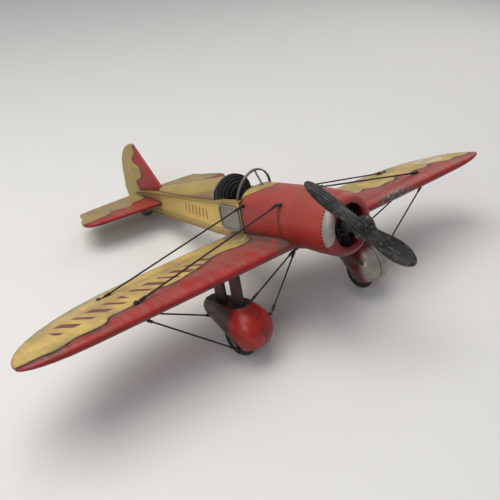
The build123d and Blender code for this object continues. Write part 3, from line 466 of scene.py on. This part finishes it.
def spat_material(name, worn):
    """Spat paint: red nose and sides painted dark as shade; one spat's nose is worn down to the tin."""
    s = Shade(name)
    forward = s.math("SUBTRACT", -4.0, s.y)
    # Red on the nose, near black on the sides: painted shade on the sides.
    front = s.step(s.math("MULTIPLY_ADD", s.noise(8, 3, seed=7), 8.0, forward), 13.0, 5.0)
    colour = s.blend(front, SPAT_SIDE_SHADE, RED_DEEP if worn else RED)
    smudge = s.step(s.noise(11, 4, seed=31), 0.56, 0.1)
    colour = s.blend(s.math("MULTIPLY", smudge, 0.45), colour, RED_DEEP)
    bare = None
    if worn:
        bare = s.both(s.step(forward, 19, 4), s.step(s.noise(7, 5, seed=13), 0.30, 0.12))
    return aged_enamel(s, colour, grime_and_shade=0.8, dust_and_sheen_amount=0.0, wear=0.12, bare=bare, gloss=0.24)


def plain_enamel(name, colour, second, grime_and_shade=0.6, dust_and_sheen_amount=0.2, wear=0.4, gloss=0.36):
    s = Shade(name)
    paint = s.blend(s.step(s.noise(14, 4, seed=4), 0.5, 0.15), colour, second)
    return aged_enamel(s, paint, grime_and_shade=grime_and_shade, dust_and_sheen_amount=dust_and_sheen_amount, wear=wear, gloss=gloss)


def rough_metal(name, dark, light, rough, metal, size=3.0, depth=0.25, stretch=(1, 1, 1)):
    """Oxidised or tinned metal with fine pits, lighter rubbed edges and painted shade in its corners."""
    s = Shade(name)
    grain = s.noise(size, 8, stretch, rough=0.72, distort=0.4)
    cloud = s.noise(size * 6, 4, seed=5)
    mixed = s.math("MULTIPLY_ADD", grain, 0.7, s.math("MULTIPLY_ADD", cloud, 0.6, -0.2), clamp=True)
    colour = s.blend(mixed, dark, light)
    colour = s.blend(s.math("MULTIPLY", s.edges(0.6), 0.5), colour, TIN)
    # Near black in corners found by ambient occlusion: painted shade.
    colour = s.blend(s.math("MULTIPLY", s.step(s.corners(4), 0.35, 0.25), 0.8), colour, INK)
    return s.finish(colour, s.math("MULTIPLY_ADD", grain, 0.25, rough), grain, depth, metal)


def propeller_material():
    """Rough casting with grain along the blades."""
    s = Shade("cast_propeller")
    turn = s.tree.nodes.new("ShaderNodeVectorRotate")
    turn.rotation_type = "AXIS_ANGLE"
    centre = TO_ROW.inverted() @ PROP_POS
    s.put(turn.inputs["Vector"], s.place)
    turn.inputs["Center"].default_value = centre
    turn.inputs["Axis"].default_value = (0, 1, 0)
    turn.inputs["Angle"].default_value = PROP_LEAN
    s.place = turn.outputs["Vector"]
    grain = s.noise(2.1, 6, (1, 1, 5), rough=0.7, distort=0.9)
    pits = s.noise(2.6, 6, rough=0.75, seed=6)
    cloud = s.noise(16, 4, seed=5)
    grooves = s.math("ABSOLUTE", s.math("SUBTRACT", s.noise(4.5, 3, (1, 1, 6), distort=1.2, seed=15), 0.5))
    mixed = s.math("MULTIPLY_ADD", grain, 0.8, s.math("MULTIPLY", pits, 0.5))
    mixed = s.math("MULTIPLY_ADD", s.step(grooves, 0.045, 0.04), 0.35, s.math("SUBTRACT", mixed, 0.28))
    colour = s.blend(s.step(mixed, 0.66, 0.16), CAST_DARK, CAST_MID)
    colour = s.blend(s.step(cloud, 0.55, 0.12), colour, CAST_CLOUD)
    # Lighter grey-green on the highest points of the grain: painted highlights along the ridges.
    colour = s.blend(s.math("MULTIPLY", s.step(mixed, 0.76, 0.12), 0.6), colour, CAST_RIDGE_HIGHLIGHT)
    # Near black in corners found by ambient occlusion: painted shade.
    colour = s.blend(s.math("MULTIPLY", s.step(s.corners(4), 0.4, 0.2), 0.85), colour, CAST_CORNER_SHADE)
    return s.finish(colour, s.math("MULTIPLY_ADD", pits, 0.25, 0.36), mixed, 2.6, 0.35)


def matt_material(name, colour, second, rough=0.8, size=2.0):
    s = Shade(name)
    grain = s.noise(size, 5)
    return s.finish(s.blend(grain, colour, second), s.math("MULTIPLY_ADD", grain, 0.15, rough), grain, 0.15)


WING = wing_material()
RED_BODY = red_body_material()
SIDE = side_material()
DECK = deck_material()
STABILIZER = stabilizer_material()
FIN = fin_material()
SPAT_NEAR = spat_material("spat_enamel", False)
SPAT_WORN = spat_material("spat_enamel_worn", True)
DARK_RED = plain_enamel("dark_red_enamel", (0.050, 0.010, 0.009), (0.018, 0.008, 0.007), dust_and_sheen_amount=0.0, wear=0.30)
BLACK = plain_enamel("black_enamel", (0.012, 0.012, 0.012), (0.022, 0.022, 0.021), grime_and_shade=0.3, dust_and_sheen_amount=0.06,
                     wear=0.25, gloss=0.30)
CAST = propeller_material()
IRON = rough_metal("dull_iron", (0.07, 0.066, 0.06), (0.24, 0.23, 0.21), 0.34, 0.8)
ENGINE = rough_metal("blackened_metal", (0.010, 0.011, 0.012), (0.050, 0.052, 0.055), 0.38, 0.6)
BRACE = rough_metal("iron_wire", (0.012, 0.009, 0.008), (0.045, 0.032, 0.026), 0.42, 0.5, size=1.5)
DOOR = rough_metal("bare_door_tin", (0.10, 0.092, 0.08), (0.44, 0.42, 0.37), 0.42, 0.25, size=3.0, depth=0.5)
RIM = rough_metal("rim_tin", (0.24, 0.23, 0.21), (0.55, 0.53, 0.49), 0.30, 0.85)
BRASS = rough_metal("dull_brass", (0.16, 0.10, 0.04), (0.42, 0.30, 0.13), 0.36, 0.9)
SEAM = rough_metal("spat_seam", (0.012, 0.008, 0.006), (0.09, 0.06, 0.05), 0.35, 0.3, size=1.5)
RUBBER = matt_material("matt_tyre", (0.012, 0.012, 0.012), (0.03, 0.029, 0.027))

FINISHES = {
    "wing_upper_skin_left": WING, "wing_upper_skin_right": WING,
    "wing_lower_skin_left": WING, "wing_lower_skin_right": WING,
    "nose_shell": RED_BODY, "mouth_bead": RED_BODY, "forward_fuselage": RED_BODY,
    "side_panel_left": SIDE, "side_panel_right": SIDE, "belly_panel": SIDE, "stern_cap": SIDE,
    "deck_plate": DECK, "turtle_deck": DECK, "turtle_deck_rim": RIM,
    "stabilizer": STABILIZER, "fin": FIN,
    "spat_outer_shell_right": SPAT_NEAR, "spat_inner_shell_right": SPAT_NEAR,
    "spat_outer_shell_left": SPAT_WORN, "spat_inner_shell_left": SPAT_WORN,
    "spat_top_plate_left": DARK_RED, "spat_top_plate_right": DARK_RED,
    "gear_strut_front_left": DARK_RED, "gear_strut_front_right": DARK_RED,
    "gear_strut_rear_left": DARK_RED, "gear_strut_rear_right": DARK_RED,
    "headrest": BLACK, "instrument_panel": BLACK, "cockpit_floor": BLACK,
    "access_door_left": DOOR, "access_door_right": DOOR,
    "propeller": CAST, "propeller_nut": CAST, "propeller_washer": ENGINE,
    "propeller_shaft": IRON, "shaft_collar": IRON, "shaft_bush": BRASS,
    "engine_crankcase": ENGINE, "engine_cylinders": ENGINE, "engine_mount_plate": ENGINE,
    "windscreen_hoop": IRON, "windscreen_strut": IRON, "tail_skid": IRON,
    "wheel_hub_left": IRON, "wheel_hub_right": IRON, "axle_left": IRON, "axle_right": IRON,
    "tyre_left": RUBBER, "tyre_right": RUBBER,
}
for name, node in NODES.items():
    finish = FINISHES.get(name, BRACE)
    for slot in node.material_slots:
        slot.material = finish


# ------------------------------------------------------------------ finer pieces
def tube(name, points, radius, material, cyclic=False):
    """A thin round bead or wire on the airframe, along points of the row frame."""
    data = bpy.data.curves.new(name, "CURVE")
    data.dimensions = "3D"
    data.bevel_depth = radius * MM
    data.bevel_resolution = 3
    data.resolution_u = 4
    spline = data.splines.new("NURBS")
    spline.points.add(len(points) - 1)
    for mark, point in zip(spline.points, points):
        mark.co = (*point, 1)
    spline.order_u = 3
    spline.use_endpoint_u = not cyclic
    spline.use_cyclic_u = cyclic
    data.use_fill_caps = True
    data.materials.append(material)
    piece = bpy.data.objects.new(name, data)
    bpy.context.scene.collection.objects.link(piece)
    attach(piece, "airframe")


def airframe_box(node):
    """Lowest and highest corners of a node in the airframe's own millimetres."""
    back = TO_ROW.inverted()
    places = [back @ v.co for v in NODES[node].data.vertices]
    return [Vector(pick(p[i] for p in places) for i in range(3)) for pick in (min, max)]


ROD_END = 0.15                      # share of a rod that its end is averaged over


def straight_rods(node):
    """The two ends, in the row frame, of each straight rod that a node is made of."""
    cloud = bmesh.new()
    cloud.from_mesh(NODES[node].data)
    bmesh.ops.remove_doubles(cloud, verts=cloud.verts, dist=1e-6)
    left = set(cloud.verts)
    rods = []
    while left:
        group, front = set(), [left.pop()]
        while front:
            vert = front.pop()
            group.add(vert)
            for edge in vert.link_edges:
                other = edge.other_vert(vert)
                if other in left:
                    left.remove(other)
                    front.append(other)
        places = [v.co.copy() for v in group]
        far = max(places, key=lambda p: (p - places[0]).length)
        near = max(places, key=lambda p: (p - far).length)
        line = (far - near).normalized()
        reach = (far - near).length
        ends = []
        for low, high in ((0, ROD_END), (1 - ROD_END, 1)):
            some = [p for p in places if low <= (p - near).dot(line) / reach <= high]
            ends.append(sum(some, Vector()) / len(some))
        rods.append(ends)
    cloud.free()
    return rods


BINDING_TURNS = 5
BINDING_LENGTH = 5.0
BINDING_START = 1.2                 # from the end of the brace
BINDING_LIFT = 0.32                 # of its wire's middle above the brace
COIL_STEPS = 8                      # points in each turn


def binding(name, end, other):
    """A short coil of thin wire wrapped round a brace near its end."""
    line = (other - end).normalized()
    side = line.orthogonal().normalized()
    up = line.cross(side)
    count = BINDING_TURNS * COIL_STEPS
    coil = []
    for step in range(count + 1):
        turn = math.tau * step / COIL_STEPS
        along = BINDING_LENGTH * MM * step / count
        around = (side * math.cos(turn) + up * math.sin(turn)) * (BRACE_R + BINDING_LIFT) * MM
        coil.append(end + line * (along + BINDING_START * MM) + around)
    tube(name, coil, BINDING_R, BRACE)


for brace in ("top_front_wire", "top_rear_wire", "under_wing_wires", "gear_wires"):
    for hand in ("left", "right"):
        for number, (one, two) in enumerate(straight_rods(f"{brace}_{hand}")):
            binding(f"{brace}_{hand}_binding_{number}a", one, two)
            binding(f"{brace}_{hand}_binding_{number}b", two, one)

# y and z of the spat's nose, from the edge of its opening to its top, in the spat's own frame
SPAT_NOSE = [(-26.8, 16.2), (-28.4, 21.0), (-28.9, 25.0), (-28.4, 28.5), (-25.4, 35.2), (-19.0, 41.2),
             (-14.0, SPAT_TOP_Z)]


def spat_seam(hand, sign):
    """Bead down the middle of a spat's nose, where its two shells meet."""
    seam = []
    for y, z in SPAT_NOSE:
        across = TRACK_HALF + y * math.sin(SPAT_SPLAY)
        behind = y * math.cos(SPAT_SPLAY) - WHEEL_HEIGHT * math.sin(SIT_ANGLE)
        seam.append(at(sign * across, behind, z))
    tube(f"spat_seam_{hand}", seam, BEAD_R, SEAM)


DOOR_CORNER_R = 4.0
DOOR_INSET = 1.0
CORNER_STEPS = 4


def door_rim(hand):
    """Raised rounded rim just inside the edge of an access door."""
    low, high = airframe_box(f"access_door_{hand}")
    x = high.x if hand == "left" else low.x
    back = DOOR_CORNER_R + DOOR_INSET
    rim = []
    for y, z, side_y, side_z in ((high.y, high.z, 1, 1), (low.y, high.z, -1, 1),
                                 (low.y, low.z, -1, -1), (high.y, low.z, 1, -1)):
        start = math.atan2(side_z, side_y) - math.pi / 4
        for step in range(CORNER_STEPS):
            turn = start + math.pi / 6 * step
            rim.append(at(x, y - side_y * back + DOOR_CORNER_R * math.cos(turn),
                          z - side_z * back + DOOR_CORNER_R * math.sin(turn)))
    tube(f"access_door_rim_{hand}", rim, BEAD_R, RIM, cyclic=True)


for hand, sign in (("left", 1), ("right", -1)):
    spat_seam(hand, sign)
for hand in ("left", "right"):
    door_rim(hand)


# ------------------------------------------------------------------ floor, light and camera
FLOOR_HALF = 6.0
FLOOR_COLOUR = (0.66, 0.65, 0.63)
VIEW_FROM = (-0.3423, WHEEL_Y - 0.3166, 0.361)
VIEW_ALONG = (0.5611, 0.6297, -0.5373)
VIEW_ROLL = math.radians(-0.6)
VIEW_LENS = 50.4
SKY_COLOUR = (0.86, 0.88, 0.92)
SKY_STRENGTH = 0.30


def floor():
    mesh = bpy.data.meshes.new("floor")
    corners = [(-FLOOR_HALF, -FLOOR_HALF, 0), (FLOOR_HALF, -FLOOR_HALF, 0),
               (FLOOR_HALF, FLOOR_HALF, 0), (-FLOOR_HALF, FLOOR_HALF, 0)]
    mesh.from_pydata(corners, [], [(0, 1, 2, 3)])
    plane = bpy.data.objects.new("floor", mesh)
    bpy.context.scene.collection.objects.link(plane)
    material = bpy.data.materials.new("pale_floor")
    material.use_nodes = True
    shader = material.node_tree.nodes["Principled BSDF"]
    shader.inputs["Base Color"].default_value = (*FLOOR_COLOUR, 1)
    shader.inputs["Roughness"].default_value = 0.75
    mesh.materials.append(material)


def area_light(name, place, target, size, power, colour=(1, 1, 1)):
    data = bpy.data.lights.new(name, "AREA")
    data.shape = "SQUARE"
    data.size = size
    data.energy = power
    data.color = colour
    lamp = bpy.data.objects.new(name, data)
    lamp.location = place
    lamp.rotation_mode = "QUATERNION"
    lamp.rotation_quaternion = (Vector(target) - Vector(place)).to_track_quat("-Z", "Y")
    bpy.context.scene.collection.objects.link(lamp)


def camera():
    """The view from ahead of the right wing and above."""
    data = bpy.data.cameras.new("camera")
    data.sensor_width = 36.0
    data.lens = VIEW_LENS
    forward = Vector(VIEW_ALONG).normalized()
    level = forward.cross(Vector((0, 0, 1))).normalized()
    roll = Matrix.Rotation(VIEW_ROLL, 3, forward)
    right = roll @ level
    up = right.cross(forward)
    axes = Matrix((right, up, -forward)).transposed().to_4x4()
    view = bpy.data.objects.new("camera", data)
    view.matrix_world = Matrix.Translation(VIEW_FROM) @ axes
    bpy.context.scene.collection.objects.link(view)
    bpy.context.scene.camera = view


floor()
area_light("overhead", (-0.35, 0.15, 1.15), (0, 0, 0.05), 1.0, 13, (1.0, 0.98, 0.95))
area_light("window", (-1.0, -0.55, 0.75), (0, 0, 0.06), 0.7, 5, (0.96, 0.98, 1.0))
area_light("far_side", (0.95, 0.25, 0.7), (0, 0, 0.06), 0.8, 3, (1.0, 0.97, 0.93))
world = bpy.data.worlds.new("soft_sky")
world.use_nodes = True
world.node_tree.nodes["Background"].inputs["Color"].default_value = (*SKY_COLOUR, 1)
world.node_tree.nodes["Background"].inputs["Strength"].default_value = SKY_STRENGTH
bpy.context.scene.world = world
bpy.context.scene.view_settings.view_transform = "Standard"
camera()
